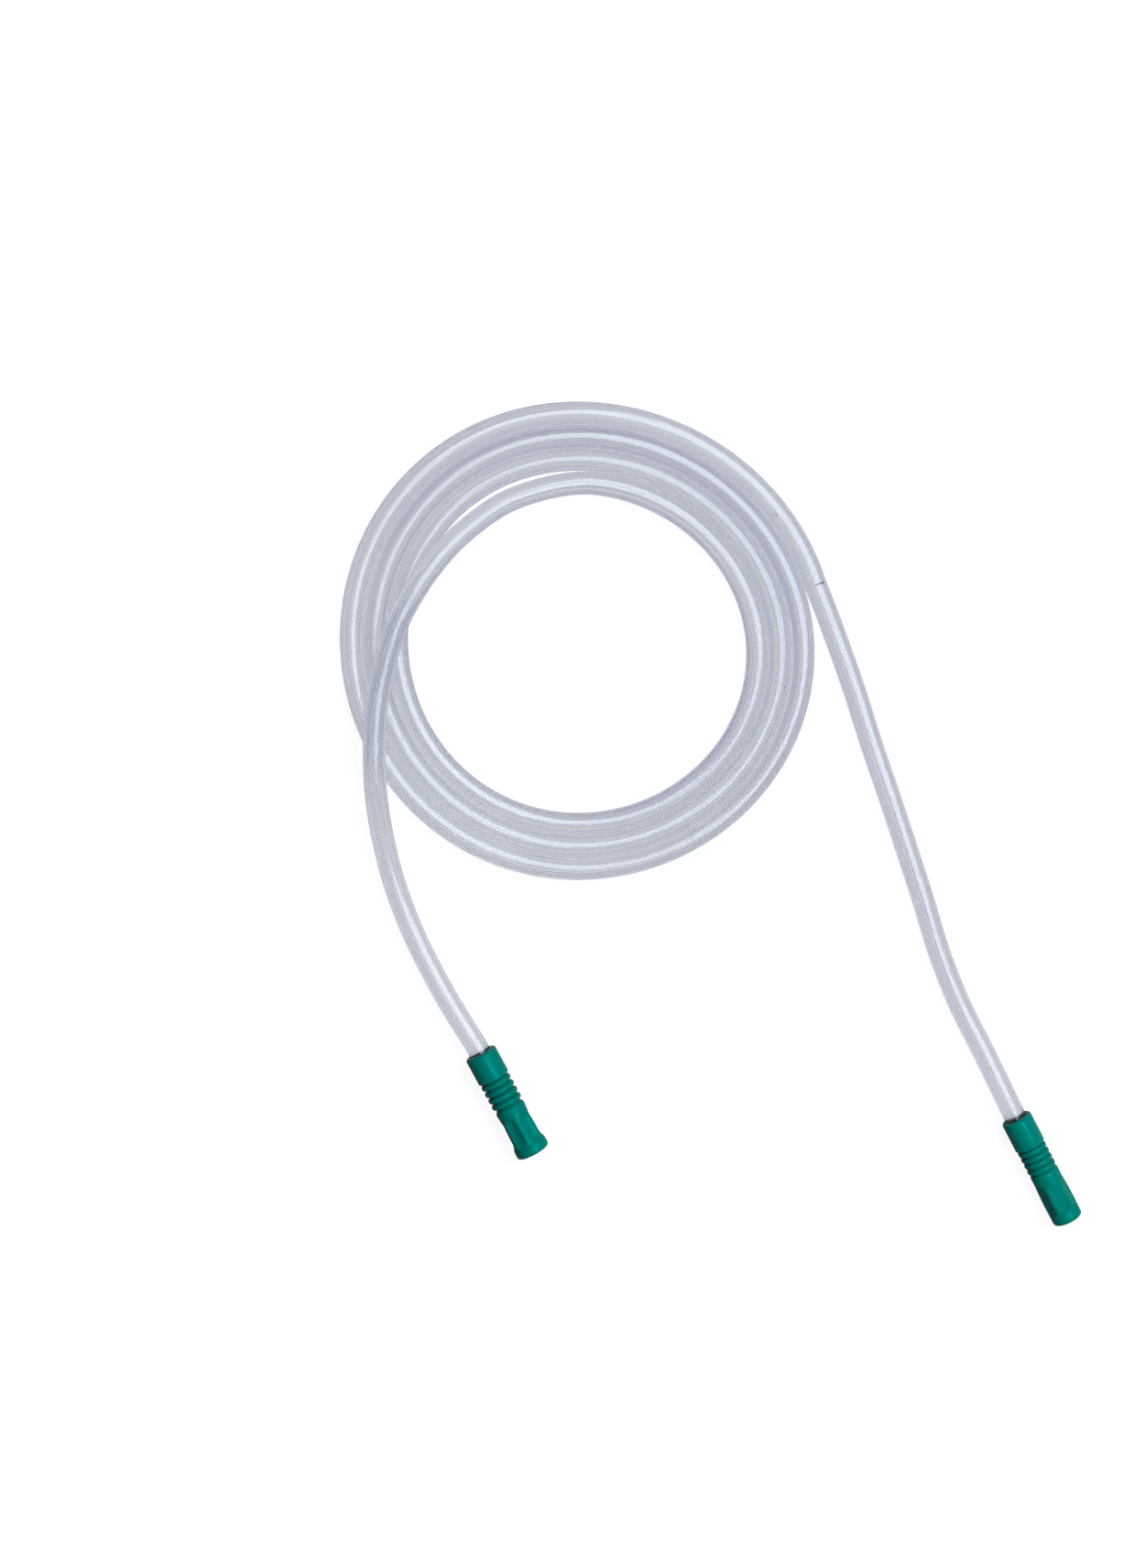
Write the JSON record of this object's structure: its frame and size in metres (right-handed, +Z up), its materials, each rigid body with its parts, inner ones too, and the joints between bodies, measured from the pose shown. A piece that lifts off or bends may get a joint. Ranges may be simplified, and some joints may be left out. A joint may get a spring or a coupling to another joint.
{
  "type": "suction tube",
  "caption": "Long clear PVC suction connecting tube, loosely coiled, with a soft green funnel connector on each end that joins it to a suction source or a suction tip.",
  "frame": {"origin": "middle of the whole part's outline on the surface that it lies on", "axes": "+Z up from the table; both connectors lie parallel and their mouths point along -Y; the coil is towards +Y"},
  "size_m": [0.2024, 0.3662, 0.017],
  "materials": {
    "clear_pvc": "clear soft PVC, glossy outside, fine lengthwise ribs inside the bore",
    "green_pvc": "soft moulded PVC, satin, dark sea green"
  },
  "bodies": {
    "root": {"tube": "clear_pvc", "flared_connector": "green_pvc", "straight_connector": "green_pvc"}
  },
  "joints": []
}
